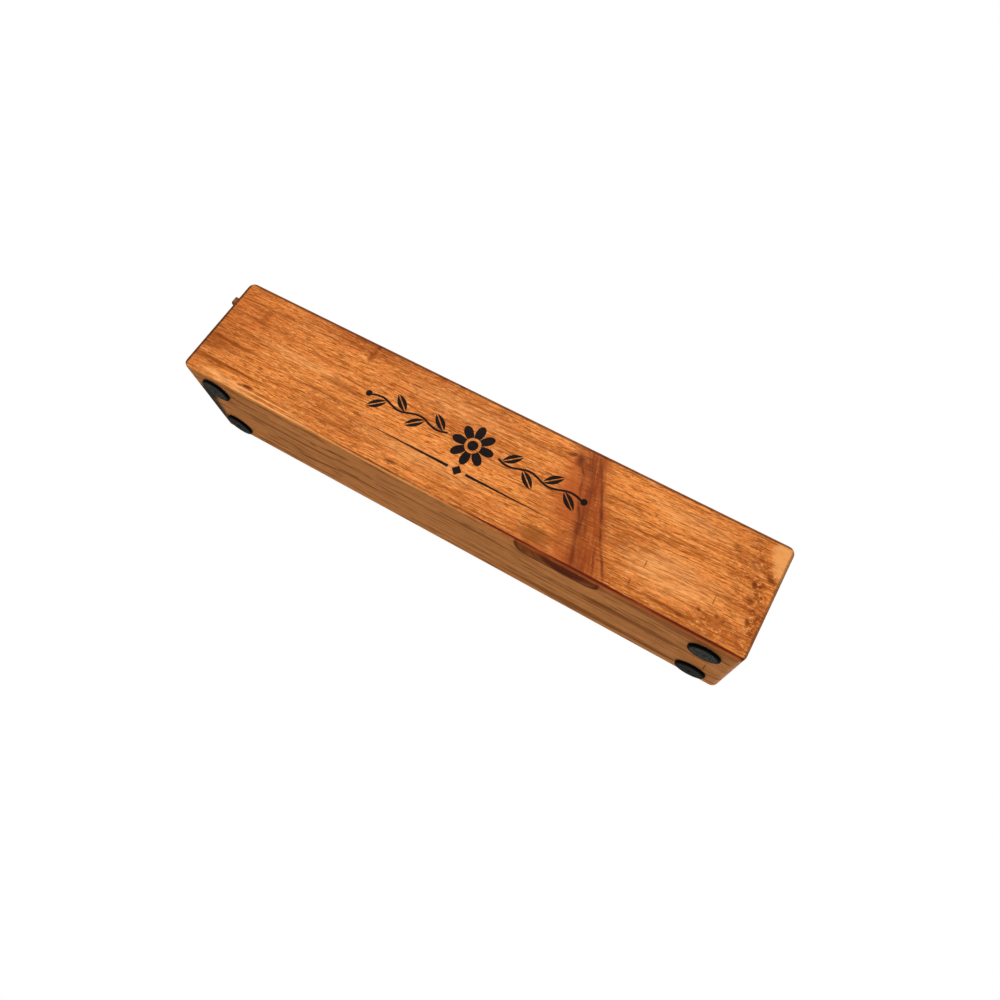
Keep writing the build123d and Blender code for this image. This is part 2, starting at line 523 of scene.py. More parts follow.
# The pith lay below the block, so the front face is cut across the growth rings and the
# underside nearly along them
PITH_Y = 17.0
PITH_Z = -72.0
RING_SPACING = 1.9
RING_SHARPNESS = 3.0

# Noise that bends the rings, broad and local, and by how many mm
RING_BENDS = [(Cells(75.0, 16.0, 0.0, 1.0), 7.0), (Cells(22.0, 5.0, 3.1, 2.0), 1.6)]

# The grain rises a little towards the right end
GRAIN_RISE = math.radians(1.9)

# Layers of the plain wood's figure. Real fibres, pores and grit are finer than these, which are as
# coarse as they need to be to show.
DRIFT = Cells(60.0, 9.0, 7.7, 2.0)
DRIFT_SHADE = Rise(0.36, 0.64, 0.0, 0.8)
DRIFT_RINGS = Rise(0.3, 0.62, 0.12, 0.6)
BANDS = Cells(46.0, 2.4, 51.3, 3.0, 0.6), Rise(0.48, 0.66, 0.0, 0.7)
FIBRE = Cells(8.0, 0.42, 11.3, 4.0, 0.6)
FIBRE_PALE = Rise(0.46, 0.66, 0.0, 0.6)
HAIRLINES = Cells(30.0, 0.3, 77.9, 3.0, 0.55), Rise(0.56, 0.66, 0.0, 0.7)
PORES = Cells(4.6, 0.32, 19.9, 2.0), Rise(0.55, 0.64, 0.0, 0.85)
GRIT = Cells(1.5, 0.32, 63.1, 3.0, 0.7), Rise(0.5, 0.62, 0.0, 0.5)
# The flecks are pale ray flecks of the wood and partly painted glints
FLECKS_AND_GLINTS = Cells(2.8, 0.4, 29.1, 2.0), Rise(0.57, 0.7, 0.0, 0.5)

# Seeds that give the block and the lid each a figure of its own
BODY_SEED = 0.0
LID_SEED = 40.0


def growth_rings(add, point, seed):
    """Late wood, 0 to 1: the distance from the pith, bent by noise, repeats at each ring and
    darkens slowly up to a sharp edge."""
    flat = add("Mapping", point, (0, -PITH_Y, -PITH_Z), (0, 0, 0), (0, 1, 1))
    bent = add("VectorMath LENGTH", flat)
    for cells, amount in RING_BENDS:
        noise = stretched(add, point, cells, seed)
        bend = add("Math MULTIPLY", noise, amount)
        bent = add("Math ADD", bent, bend)
    count = add("Math DIVIDE", bent, RING_SPACING)
    phase = add("Math FRACT", count)
    return add("Math POWER", phase, RING_SHARPNESS)


def wood_tones(add, point, seed):
    """The plain wood's colour, and the rings, fibre and pores that its bump uses."""
    point = add("Mapping", point, (0, 0, 0), (0, GRAIN_RISE, 0))
    rings = growth_rings(add, point, seed)
    drift = stretched(add, point, DRIFT, seed)
    shade = add("MapRange", drift, *DRIFT_SHADE, **SMOOTH)
    colour = laid(add, OILED, OILED_DEEP, shade)
    bands = figure(add, point, *BANDS, seed)
    colour = laid(add, colour, BAND_BROWN, bands)
    fibre = stretched(add, point, FIBRE, seed)
    pale = add("MapRange", fibre, *FIBRE_PALE, **SMOOTH)
    colour = laid(add, colour, OILED_PALE, pale)
    patchy = add("MapRange", drift, *DRIFT_RINGS, **SMOOTH)
    colour = laid(add, colour, LATE_WOOD, rings, patchy)
    hairlines = figure(add, point, *HAIRLINES, seed)
    colour = laid(add, colour, PORE_BROWN, hairlines)
    pores = figure(add, point, *PORES, seed)
    colour = laid(add, colour, PORE_BROWN, pores)
    grit = figure(add, point, *GRIT, seed)
    colour = laid(add, colour, PORE_BROWN, grit)
    # Pale ray flecks, partly painted glints
    flecks_and_glints = figure(add, point, *FLECKS_AND_GLINTS, seed)
    colour = laid(add, colour, YELLOW_LIGHT, flecks_and_glints)
    return colour, rings, fibre, pores


def spike_band(add, point):
    """How much a point lies in the spike knot, whose middle leans to the left as it rises and
    whose half width tapers, and how strong its own fibre is there."""
    x, y, z = add("SeparateXYZ", point).node.outputs
    middle = add("Math MULTIPLY_ADD", z, SPIKE_LEAN, SPIKE_FOOT_X)
    across = add("Math SUBTRACT", x, middle)
    half = add("Math MULTIPLY_ADD", z, SPIKE_TAPER, SPIKE_FOOT_HALF)
    share = add("Math DIVIDE", across, half)
    far = add("Math ABSOLUTE", share)
    band = add("MapRange", far, *SPIKE_EDGE, **SMOOTH)
    depth = add("MapRange", y, *SPIKE_SKIN, **SMOOTH)
    side = add("MapRange", share, *SPIKE_LEFT, **SMOOTH)

    lengthways = add("CombineXYZ", across, y, z)
    run = add("Mapping", lengthways, (0, 0, 0), (0, 0, 0), SPIKE_FIBRE)
    fibre = add("TexNoise", run, 1.0, 4.0, 0.6)
    strength = add("MapRange", fibre, *SPIKE_STRENGTH, **SMOOTH)
    return product(add, band, depth, side), strength


def spike_knot(add, point, ragged, colour):
    """Lays the spike knot over the front face: a reddish band with an orange halo, smoky brown
    places, a blotch at its foot and dark lines."""
    colour = marked(add, ragged, SPIKE_HALO, colour, KNOT_ORANGE)
    band, strength = spike_band(add, point)
    colour = laid(add, colour, KNOT_RED, band, strength)
    smoke = mark_mask(add, ragged, SPIKE_SMOKE)
    colour = laid(add, colour, SMOKE_BROWN, smoke, strength)
    colour = marked(add, ragged, SPIKE_BLOTCH, colour, BLOTCH_BROWN)
    return marked(add, point, SPIKE_LINES, colour, SMOKE_BROWN)


# The edge knot's own figure
KNOT_FIGURE = Cells(3.6, 1.2, 91.0, 4.0, 0.7), Rise(0.4, 0.6, 0.7)


def edge_knot(add, point, colour):
    """Lays the knot in the front edge over the underside's colour, with a dark rim and a dark
    core. It is a blunt ellipsoid: with x, y and z in its own half sizes, its reach is the fourth
    root of x, y and z to the fourth, added up. It ends just above the edge."""
    near = add("Mapping", point, KNOT_MIDDLE, (0, 0, 0), KNOT_HALVES, vector_type="TEXTURE")
    squares = add("VectorMath MULTIPLY", near, near)
    reach = add("VectorMath LENGTH", squares)
    reach = add("Math SQRT", reach)
    inside = add("MapRange", reach, *KNOT_INSIDE, **SMOOTH)
    z = add("SeparateXYZ", point, out="Z")
    low = add("MapRange", z, *KNOT_LOW, **SMOOTH)
    inside = add("Math MULTIPLY", inside, low)
    flesh = figure(add, point, *KNOT_FIGURE)
    colour = laid(add, colour, KNOT_FLESH, flesh, inside)
    rim = add("MapRange", reach, *KNOT_RIM, **SMOOTH)
    colour = laid(add, colour, KNOT_DARK, rim, inside)
    core = mark_mask(add, point, KNOT_CORE)
    core = mark_mask(add, point, KNOT_LEFT_RING, core)
    return laid(add, colour, KNOT_DARK, core, inside)


# The print's place holds a plain ornament: a flower with a leafy vine to each side and a ruled
# line below, mirrored about its middle. Lengths are in mm.
PRINT_X = 108.0
PRINT_Z = 22.6
PRINT_INK = linear("#140A08")
SPRIG_START = 10.0
SPRIG_END = 41.2
LEAF_PITCH = 7.8
LEAF_SHIFT = 0.4
LEAF_ANGLE = math.radians(40)
LEAF_HALF_LENGTH = 3.9
LEAF_HALF_WIDTH = 1.55
LEAF_FROM_STEM = 2.2
VEIN_HALF_WIDTH = 0.17
STEM_SWING = 0.9
STEM_HALF_WIDTH = 0.42
PETALS = 8
PETAL_REACH = 6.2
PETAL_START = 1.7
HEART_GAP = 2.9
HEART_RADIUS = 1.9
BERRY_RADIUS = 1.2
BERRY_GAP = 1.0
RULE_DROP = 10.4
RULE_START = 3.4
RULE_END = 40.0
RULE_HALF_WIDTH = 0.5
LOZENGE_HALF = 1.9
INK_EDGE = 0.12
INK_DEPTH = Rise(1.0, 0.4)


def leaf_shape(add, local, height):
    """Below 0 in the leaf of one pitch, turned up from the stem: an almond whose half width is
    its widest times 1 - (a / half length) squared, with a along it, and a clear vein."""
    p = add("Math SUBTRACT", local, LEAF_SHIFT)
    q = add("Math SUBTRACT", height, LEAF_FROM_STEM)
    cosine, sine = math.cos(LEAF_ANGLE), math.sin(LEAF_ANGLE)
    a = add("Math MULTIPLY", p, cosine)
    a = add("Math MULTIPLY_ADD", q, sine, a)
    b = add("Math MULTIPLY", q, cosine)
    b = add("Math MULTIPLY_ADD", p, -sine, b)
    b = add("Math ABSOLUTE", b)
    bow = add("Math DIVIDE", a, LEAF_HALF_LENGTH)
    bow = add("Math POWER", bow, 2.0)
    bow = add("Math SUBTRACT", 1.0, bow)
    leaf = add("Math MULTIPLY_ADD", bow, -LEAF_HALF_WIDTH, b)
    vein = add("Math SUBTRACT", VEIN_HALF_WIDTH, b)
    return add("Math MAXIMUM", leaf, vein)


def sprig_shape(add, u, v):
    """Below 0 in the vine: a stem that swings as a sine of u, and a leaf in each pitch, on the
    upper and lower side in turn."""
    along = add("Math SUBTRACT", u, SPRIG_START)
    cells = add("Math DIVIDE", along, LEAF_PITCH)
    cell = add("Math FLOOR", cells)
    part = add("Math FRACT", cells)
    local = add("Math MULTIPLY_ADD", part, LEAF_PITCH, -LEAF_PITCH / 2)
    odd = add("Math FLOORED_MODULO", cell, 2.0)
    side = add("Math MULTIPLY_ADD", odd, -2.0, 1.0)
    height = add("Math MULTIPLY", v, side)
    swing = add("Math MULTIPLY", part, math.pi)
    swing = add("Math SINE", swing)
    stem = add("Math MULTIPLY_ADD", swing, STEM_SWING, height)
    stem = add("Math ABSOLUTE", stem)
    stem = add("Math SUBTRACT", stem, STEM_HALF_WIDTH)
    sprig = add("Math MINIMUM", stem, leaf_shape(add, local, height))
    before = add("Math SUBTRACT", SPRIG_START, u)
    after = add("Math SUBTRACT", u, SPRIG_END)
    sprig = add("Math MAXIMUM", sprig, before)
    return add("Math MAXIMUM", sprig, after)


def flower_shape(add, u, v):
    """Below 0 in the flower: petals whose reach follows the root of the cosine of half their
    number times the angle, and a round heart with a clear ring round it."""
    flat = add("CombineXYZ", u, v, 0.0)
    reach = add("VectorMath LENGTH", flat)
    angle = add("Math ARCTAN2", v, u)
    wave = add("Math MULTIPLY", angle, PETALS / 2)
    wave = add("Math COSINE", wave)
    wave = add("Math ABSOLUTE", wave)
    wave = add("Math POWER", wave, 0.5)
    petal = add("Math MULTIPLY_ADD", wave, PETAL_REACH, PETAL_START)
    flower = add("Math SUBTRACT", reach, petal)
    inner = add("Math SUBTRACT", HEART_GAP, reach)
    flower = add("Math MAXIMUM", flower, inner)
    heart = add("Math SUBTRACT", reach, HEART_RADIUS)
    return add("Math MINIMUM", flower, heart)


def berry_shape(add, u, v):
    """Below 0 in the round berry at a sprig's end."""
    tip = add("Math SUBTRACT", u, SPRIG_END + BERRY_GAP)
    flat = add("CombineXYZ", tip, v, 0.0)
    berry = add("VectorMath LENGTH", flat)
    return add("Math SUBTRACT", berry, BERRY_RADIUS)


def rule_shape(add, u, v):
    """Below 0 in the ruled line, which narrows evenly to nothing at its end, and in the lozenge
    in its middle."""
    low = add("Math ADD", v, RULE_DROP)
    low = add("Math ABSOLUTE", low)
    thin = add("MapRange", u, RULE_START, RULE_END, RULE_HALF_WIDTH, 0.0)
    rule = add("Math SUBTRACT", low, thin)
    before = add("Math SUBTRACT", RULE_START, u)
    rule = add("Math MAXIMUM", rule, before)
    lozenge = add("Math ADD", u, low)
    lozenge = add("Math SUBTRACT", lozenge, LOZENGE_HALF)
    return add("Math MINIMUM", rule, lozenge)


def ink_print(add, point):
    """1 where the printed ornament lies on the front face. Out from the middle, u is the
    distance along and v the height."""
    x, y, z = add("SeparateXYZ", point).node.outputs
    out = add("Math SUBTRACT", x, PRINT_X)
    u = add("Math ABSOLUTE", out)
    v = add("Math SUBTRACT", z, PRINT_Z)
    shape = sprig_shape(add, u, v)
    for more in (flower_shape, berry_shape, rule_shape):
        shape = add("Math MINIMUM", shape, more(add, u, v))
    ink = add("MapRange", shape, INK_EDGE, -INK_EDGE, 0.0, 1.0, **SMOOTH)
    skin = add("MapRange", y, *INK_DEPTH, **SMOOTH)
    return add("Math MULTIPLY", ink, skin)


# Inside the box: where the trough and the grooves lie, over how many mm their tones fade in, and
# the round cutter that made them
INNER_HALF_WIDTH = 16.9
INNER_LEFT = 0.5
INNER_RIGHT = 210.6
INNER_BOTTOM = 6.5
INNER_TOP = 40.5
INNER_FADE = 0.3
LEFT_FADE = 0.5
CUTTER_RADIUS = 6.35
CUTTER_PASS = 7.15
CUTTER_STEP = 1.3
CUTTER_RELIEF = 0.018


def routed_mask(add, point):
    """1 on the routed faces inside the block and 0 outside, with the x and the distance from the
    block's long middle plane that the cutter's marks follow."""
    x, y, z = add("SeparateXYZ", point).node.outputs
    off = add("Math SUBTRACT", y, BLOCK_WIDTH / 2)
    off = add("Math ABSOLUTE", off)
    mask = add("MapRange", off, INNER_HALF_WIDTH + INNER_FADE, INNER_HALF_WIDTH, 0.0, 1.0)
    for value, start, end in (
        (x, INNER_LEFT, INNER_LEFT + LEFT_FADE),
        (x, INNER_RIGHT + INNER_FADE, INNER_RIGHT),
        (z, INNER_BOTTOM, INNER_BOTTOM + INNER_FADE),
        (z, INNER_TOP, INNER_TOP - INNER_FADE),
    ):
        inside = add("MapRange", value, start, end, 0.0, 1.0)
        mask = add("Math MULTIPLY", mask, inside)
    return mask, x, off


def cutter_marks(add, x, off):
    """Crescents that a round cutter leaves at each small step of its feed: the sine of
    (x + the root of radius squared less v squared) / step, with v measured from the middle of
    the cutter's pass."""
    v = add("Math SUBTRACT", off, CUTTER_PASS)
    square = add("Math POWER", v, 2.0)
    rest = add("Math SUBTRACT", CUTTER_RADIUS ** 2, square)
    rest = add("Math MAXIMUM", rest, 0.0)
    bow = add("Math SQRT", rest)
    along = add("Math ADD", x, bow)
    turns = add("Math MULTIPLY", along, 2 * math.pi / CUTTER_STEP)
    return add("Math SINE", turns)


# The finish: how far down a surface faces sets its specular level, as the oil leaves a gloss and
# the bare underside has hardly any, and the fibre sets its roughness
WOOD_SHEEN = Rise(0.2, 0.7, 0.045, 0.005)
WOOD_ROUGHNESS = Rise(0.3, 0.7, 0.62, 0.48)
ROUTED_ROUGHER = 0.2

# Relief in mm: fibres and rings stand, pores sink
FIBRE_RELIEF = 0.06
PORE_RELIEF = -0.07
RING_RELIEF = 0.02

# How the ends' darker grain, its ring arcs and the rubbed edges come in, the last two by the
# rings and by how far an edge is rounded
BODY_ENDS = Rise(0.5, 0.95, 0.0, 0.65)
LID_ENDS = Rise(0.5, 0.95, 0.0, 0.75)
END_ARCS = Rise(0.1, 0.9, 0.0, 0.5)
ROUNDED = Rise(0.04, 0.22)
EDGE_RUB = Cells(14.0, 5.0, 0.0, 3.0, 0.6), Rise(0.42, 0.66, 0.1, 0.5)
BODY_RUB_SEED = 83.0
LID_RUB_SEED = 97.0


def surface_turn(add):
    """How far the surface turns to the ends (0 to 1), how far to below (1 when it faces straight
    down), and how much it lies between two directions, as on a rounded edge (0 on a flat face,
    0.3 at 45 degrees)."""
    normal = add("TexCoord", out="Normal")
    nx, ny, nz = add("SeparateXYZ", normal).node.outputs
    ends, sides, upright = [add("Math ABSOLUTE", n) for n in (nx, ny, nz)]
    most = add("Math MAXIMUM", ends, sides)
    most = add("Math MAXIMUM", most, upright)
    edge = add("Math SUBTRACT", 1.0, most)
    below = add("Math MULTIPLY", nz, -1.0)
    return ends, below, edge


def end_grain(add, colour, rings, ends, rise):
    """Darkens the faces that cut across the fibres, which drink more oil, and shows the growth
    rings on them as dark arcs."""
    mask = add("MapRange", ends, *rise, **SMOOTH)
    colour = laid(add, colour, END_BROWN, mask)
    arcs = add("MapRange", rings, *END_ARCS, **SMOOTH)
    return laid(add, colour, END_LATE_WOOD, arcs, mask)


def edge_wear(add, point, colour, edge, seed):
    """Rubs the rounded edges paler in places, where hands and the desk have worn the oil off."""
    rub = figure(add, point, *EDGE_RUB, seed)
    mask = add("MapRange", edge, *ROUNDED, **SMOOTH)
    return laid(add, colour, OILED_PALE, mask, rub)


def finish_wood(add, colour, relief, roughness, below):
    """The oiled surface: satin, and nearly dry where it faces down, with its relief in
    millimetres in the bump."""
    sheen = add("MapRange", below, *WOOD_SHEEN)
    bump = add("Bump", named={"Strength": 1.0, "Distance": MM, "Height": relief})
    named = {
        "Base Color": colour,
        "Roughness": roughness,
        "IOR": 1.5,
        "Specular IOR Level": sheen,
        "Normal": bump,
    }
    surface = add("BsdfPrincipled", named=named)
    add("OutputMaterial", surface)


def grain_relief(add, rings, fibre, pores):
    """The height of the sanded grain in millimetres."""
    relief = add("Math MULTIPLY", fibre, FIBRE_RELIEF)
    relief = add("Math MULTIPLY_ADD", pores, PORE_RELIEF, relief)
    return add("Math MULTIPLY_ADD", rings, RING_RELIEF, relief)


# The underside's tan and its own figure, where the surface faces down
FACING_DOWN = Rise(0.55, 0.85)
TAN_STRENGTH = 0.55
UNDER_FIGURE = [
    (Cells(70.0, 1.5, 33.0, 3.0, 0.6), Rise(0.49, 0.66, 0.0, 0.35), UNDER_BROWN),
    (Cells(16.0, 3.2, 57.0, 4.0, 0.6), Rise(0.5, 0.66, 0.0, 0.75), BLOTCH_BROWN),
]

# What breaks up the long streaks, the lighter places and the stain
TORN = Cells(13.0, 0.8, 47.0, 3.0, 0.65), Rise(0.36, 0.56, 0.55)
LIGHT_FIBRE = Rise(0.36, 0.6, 0.2)
CRUMBS = Cells(1.7, 1.3, 71.0, 5.0, 0.85)
DARK_CRUMBS = Rise(0.44, 0.53, 0.15)
LIGHT_CRUMBS = Rise(0.44, 0.34, 0.0, 0.8)

# The red band along the lower edge is strong where the edge looks forward and faint below
BAND_FORWARD = Rise(0.35, 0.9, 0.9, 0.22)

# Inside, the wood is paler, with the grey smudges that pencils leave
ROUTED_PALENESS = 0.5
SMUDGES = Cells(34.0, 4.0, 111.0, 4.0, 0.65), Rise(0.5, 0.68, 0.0, 0.55)


def underside_tones(add, point, colour, below):
    """Turns what faces down to tan, with long brown lines and soft brown patches."""
    turned = add("MapRange", below, *FACING_DOWN, **SMOOTH)
    colour = laid(add, colour, UNDER_TAN, turned, TAN_STRENGTH)
    for cells, rise, tone in UNDER_FIGURE:
        mask = figure(add, point, cells, rise)
        colour = laid(add, colour, tone, mask, turned)
    return colour


def long_marks(add, point, wavy, ragged, colour, fibre):
    """Lays on the broad shades, the streaks along the grain and the lighter places."""
    torn = figure(add, point, *TORN)
    shades = mark_mask(add, ragged, FRONT_SHADES)
    colour = add("Mix", shades, colour, SHADE_TONE, data_type="RGBA", blend_type="MULTIPLY")
    streaks = mark_mask(add, wavy, FRONT_STREAKS)
    streaks = mark_mask(add, wavy, BACK_STREAKS, streaks)
    colour = laid(add, colour, STREAK_BROWN, streaks, torn)
    colour = marked(add, wavy, UNDER_STREAKS, colour, UNDER_BROWN)
    light = mark_mask(add, ragged, FRONT_LIGHT)
    light = mark_mask(add, wavy, UNDER_LIGHT, light)
    patch = add("MapRange", fibre, *LIGHT_FIBRE, **SMOOTH)
    return laid(add, colour, YELLOW_LIGHT, light, patch)


def ragged_stain(add, point, ragged, colour):
    """Lays on the stain, a ragged area broken up into dark and light crumbs, and the light corner
    beside it."""
    area = mark_mask(add, ragged, FRONT_STAIN)
    crumbs = stretched(add, point, CRUMBS)
    for rise, tone in ((DARK_CRUMBS, STAIN_BROWN), (LIGHT_CRUMBS, YELLOW_LIGHT)):
        mask = add("MapRange", crumbs, *rise, **SMOOTH)
        colour = laid(add, colour, tone, area, mask)
    return marked(add, ragged, FRONT_CORNER_LIGHT, colour, CORNER_LIGHT)


def edge_lines(add, point, wavy, colour, below):
    """Lays the red band and the dark line along the front's edges, painted shade along its rims
    and painted highlight lines along its lower edge.
    """
    band = mark_mask(add, wavy, EDGE_RED_BAND)
    forward = add("MapRange", below, *BAND_FORWARD, **SMOOTH)
    colour = laid(add, colour, EDGE_RED, band, forward)
    colour = marked(add, point, EDGE_DARK_LINES, colour, EDGE_DARK)
    # Painted shade along the front's rims
    colour = marked(add, point, EDGE_RIM_SHADE_LINES, colour, RIM_SHADE_BROWN)
    # Painted highlight along the front's lower edge
    return marked(add, point, EDGE_HIGHLIGHT_LINES, colour, YELLOW_LIGHT)


def inside_tones(add, point, colour, routed):
    """Turns the routed faces paler and lays the pencils' smudges on them."""
    colour = laid(add, colour, ROUTED_PALE, routed, ROUTED_PALENESS)
    smudge = figure(add, point, *SMUDGES)
    return laid(add, colour, GRAPHITE, smudge, routed)


def body_wood():
    """Oiled softwood block, sanded outside and routed inside: fine straight grain with knots and
    stains outside, paler, with cutter marks and pencil smudges inside."""
    material, add = new_material("oiled_sanded_softwood_block")
    point = block_point(add)
    colour, rings, fibre, pores = wood_tones(add, point, BODY_SEED)
    ends, below, edge = surface_turn(add)
    wavy = shaken(add, point, BODY_WAVY)
    ragged = shaken(add, point, BODY_RAGGED)

    colour = underside_tones(add, point, colour, below)
    colour = long_marks(add, point, wavy, ragged, colour, fibre)
    colour = ragged_stain(add, point, ragged, colour)
    colour = marked(add, ragged, FRONT_SMEARS, colour, STREAK_BROWN)
    spots = mark_mask(add, wavy, FRONT_SPOTS)
    spots = mark_mask(add, wavy, BACK_SPOTS, spots)
    spots = mark_mask(add, wavy, TOP_SPOTS, spots)
    colour = laid(add, colour, SPOT_BROWN, spots)
    colour = spike_knot(add, wavy, ragged, colour)
    colour = edge_knot(add, wavy, colour)
    colour = marked(add, point, FRONT_CHECKS, colour, CHECK_DARK)

    colour = end_grain(add, colour, rings, ends, BODY_ENDS)
    colour = edge_wear(add, point, colour, edge, BODY_RUB_SEED)
    colour = edge_lines(add, point, wavy, colour, below)
    # Darkens the underside's left end by the pads
    colour = marked(add, ragged, UNDER_LEFT_DARK, colour, LEFT_END_BLACK)

    routed, x, off = routed_mask(add, point)
    colour = inside_tones(add, point, colour, routed)
    ink = ink_print(add, point)
    colour = laid(add, colour, PRINT_INK, ink)

    relief = grain_relief(add, rings, fibre, pores)
    waves = cutter_marks(add, x, off)
    waves = add("Math MULTIPLY", waves, routed)
    relief = add("Math MULTIPLY_ADD", waves, CUTTER_RELIEF, relief)
    roughness = add("MapRange", fibre, *WOOD_ROUGHNESS)
    roughness = add("Math MULTIPLY_ADD", routed, ROUTED_ROUGHER, roughness)
    finish_wood(add, colour, relief, roughness, below)
    return material


# The planer's knives leave one shallow ripple each across the lid's lower face
PLANER_STEP = 3.2
PLANER_RELIEF = 0.012
PLANED = Rise(0.9, 0.98)

# Painted shade on the lid's end past the block, most on its rounded edges
PAINTED_END_SHADE = Rise(2.0, -2.5)
END_SHADE_EDGE = Rise(0.03, 0.25, 0.8)
END_SHADE_BREAKUP = Cells(3.0, 1.4, 103.0, 4.0, 0.7), Rise(0.34, 0.54, 0.65)


def lid_wood():
    """Oiled softwood board from another length of the same wood: sanded on top, planed below,
    where the knives left fine ripples, with painted shade on its end past the block."""
    material, add = new_material("oiled_planed_softwood_lid")
    point = block_point(add)
    colour, rings, fibre, pores = wood_tones(add, point, LID_SEED)
    ends, below, edge = surface_turn(add)
    wavy = shaken(add, point, LID_WAVY)
    colour = marked(add, wavy, LID_STREAKS, colour, STREAK_BROWN)
    colour = marked(add, wavy, LID_SPOTS, colour, SMOKE_BROWN)
    colour = end_grain(add, colour, rings, ends, LID_ENDS)
    colour = edge_wear(add, point, colour, edge, LID_RUB_SEED)
    x = add("SeparateXYZ", point)
    # Painted shade on the lid's end, darkest on its rounded edges
    end_shade = add("MapRange", x, *PAINTED_END_SHADE, **SMOOTH)
    end_edge_shade = add("MapRange", edge, *END_SHADE_EDGE, **SMOOTH)
    broken = figure(add, point, *END_SHADE_BREAKUP)
    colour = laid(add, colour, END_SHADE_BROWN, end_edge_shade, end_shade, broken)
    relief = grain_relief(add, rings, fibre, pores)
    turns = add("Math MULTIPLY", x, 2 * math.pi / PLANER_STEP)
    ripple = add("Math SINE", turns)
    planed = add("MapRange", below, *PLANED)
    ripple = add("Math MULTIPLY", ripple, planed)
    relief = add("Math MULTIPLY_ADD", ripple, PLANER_RELIEF, relief)
    roughness = add("MapRange", fibre, *WOOD_ROUGHNESS)
    finish_wood(add, colour, relief, roughness, below)
    return material


# Pads: turned profiles, in millimetres from the pad's own axis and lower face
PAD_RADIUS = 5.6
PAD_THICKNESS = 1.05
PAD_RIM_ACROSS = 0.75
PAD_RIM_UP = 0.5
PAD_LEAN = 0.08
PAD_TOP_EASE = 0.12
SINK_RADIUS = 1.25
SINK_DEPTH = 0.22
NIB_HEIGHT = 0.18
NIB_RADIUS = 0.32
PAD_TURNS = 96

# Points along the parts of a pad's profile
SINK_POINTS = 18
FACE_POINTS = 9
ARC_POINTS = 12
TOP_POINTS = 6


def pad_profile():
    """Radii and heights of a pad's outline from the middle of its lower face round to the middle
    of its top.

    The gate's sink in the middle is depth x (1 - (r / sink radius) squared) squared, less a bell
    nib, nib height x e to the -(r / nib radius) squared. The face is flat from there to the rim,
    which is a quarter of an ellipse. The wall leans in as it rises, and its top edge is eased by
    a small quarter circle."""
    sink_r = np.linspace(0.0, SINK_RADIUS, SINK_POINTS)
    sink_z = SINK_DEPTH * (1 - (sink_r / SINK_RADIUS) ** 2) ** 2
    sink_z = sink_z - NIB_HEIGHT * np.exp(-(sink_r / NIB_RADIUS) ** 2)
    sink_z = np.maximum(sink_z, 0.0)
    face_r = np.linspace(SINK_RADIUS, PAD_RADIUS - PAD_RIM_ACROSS, FACE_POINTS)[1:]
    turn = np.linspace(0.0, math.pi / 2, ARC_POINTS)[1:]
    rim_r = PAD_RADIUS - PAD_RIM_ACROSS * (1 - np.sin(turn))
    rim_z = PAD_RIM_UP * (1 - np.cos(turn))
    ease_r = PAD_RADIUS - PAD_LEAN - PAD_TOP_EASE * (1 - np.cos(turn))
    ease_z = PAD_THICKNESS - PAD_TOP_EASE * (1 - np.sin(turn))
    wall_end = (PAD_RADIUS - PAD_LEAN, PAD_THICKNESS - PAD_TOP_EASE)
    top_r = np.linspace(ease_r[-1], 0.0, TOP_POINTS)[1:]
    radii = np.concatenate([sink_r, face_r, rim_r, [wall_end[0]], ease_r, top_r])
    heights = np.concatenate(
        [sink_z, 0 * face_r, rim_z, [wall_end[1]], ease_z, 0 * top_r + PAD_THICKNESS]
    )
    return radii, heights


def keep_values(mesh, name, values):
    """Stores one value for each point of the mesh, for its material to read."""
    store = mesh.attributes.new(name, "FLOAT", "POINT")
    store.data.foreach_set("value", values.astype(np.float32))


def turned_piece(name, centre, radii, heights, sheen_share):
    """A profile carried once round an upright axis at the centre, with one point at each pole:
    x = r cos t, y = r sin t, z = height. Each point keeps its radius as radius_mm, and the
    strength of the painted sheen on its face as sheen_share."""
    turns = np.linspace(0.0, 2 * math.pi, PAD_TURNS, endpoint=False)
    ring_r, ring_z = radii[1:-1], heights[1:-1]
    xs = np.outer(ring_r, np.cos(turns)).ravel()
    ys = np.outer(ring_r, np.sin(turns)).ravel()
    zs = np.repeat(ring_z, PAD_TURNS)
    rings = np.column_stack([xs, ys, zs])
    points = np.vstack([rings, [0, 0, heights[0]], [0, 0, heights[-1]]])
    low_pole, high_pole = len(rings), len(rings) + 1

    start = np.arange(len(ring_r) - 1)[:, None] * PAD_TURNS
    here = np.arange(PAD_TURNS)[None, :]
    ahead = (here + 1) % PAD_TURNS
    quads = np.stack(
        [start + here, start + ahead, start + PAD_TURNS + ahead, start + PAD_TURNS + here], axis=-1
    ).reshape(-1, 4)
    here, ahead = here[0], ahead[0]
    last = (len(ring_r) - 1) * PAD_TURNS
    low_fan = np.column_stack([np.full(PAD_TURNS, low_pole), ahead, here])
    high_fan = np.column_stack([np.full(PAD_TURNS, high_pole), last + here, last + ahead])
    faces = quads.tolist() + low_fan.tolist() + high_fan.tolist()

    mesh = bpy.data.meshes.new(name)
    places = points * MM + np.array(centre)
    mesh.from_pydata(places.tolist(), [], faces)
    mesh.polygons.foreach_set("use_smooth", np.ones(len(faces), dtype=bool))
    keep_values(mesh, "radius_mm", np.hypot(points[:, 0], points[:, 1]))
    keep_values(mesh, "sheen_share", np.full(len(points), sheen_share))
    piece = bpy.data.objects.new(name, mesh)
    bpy.context.scene.collection.objects.link(piece)
    return piece


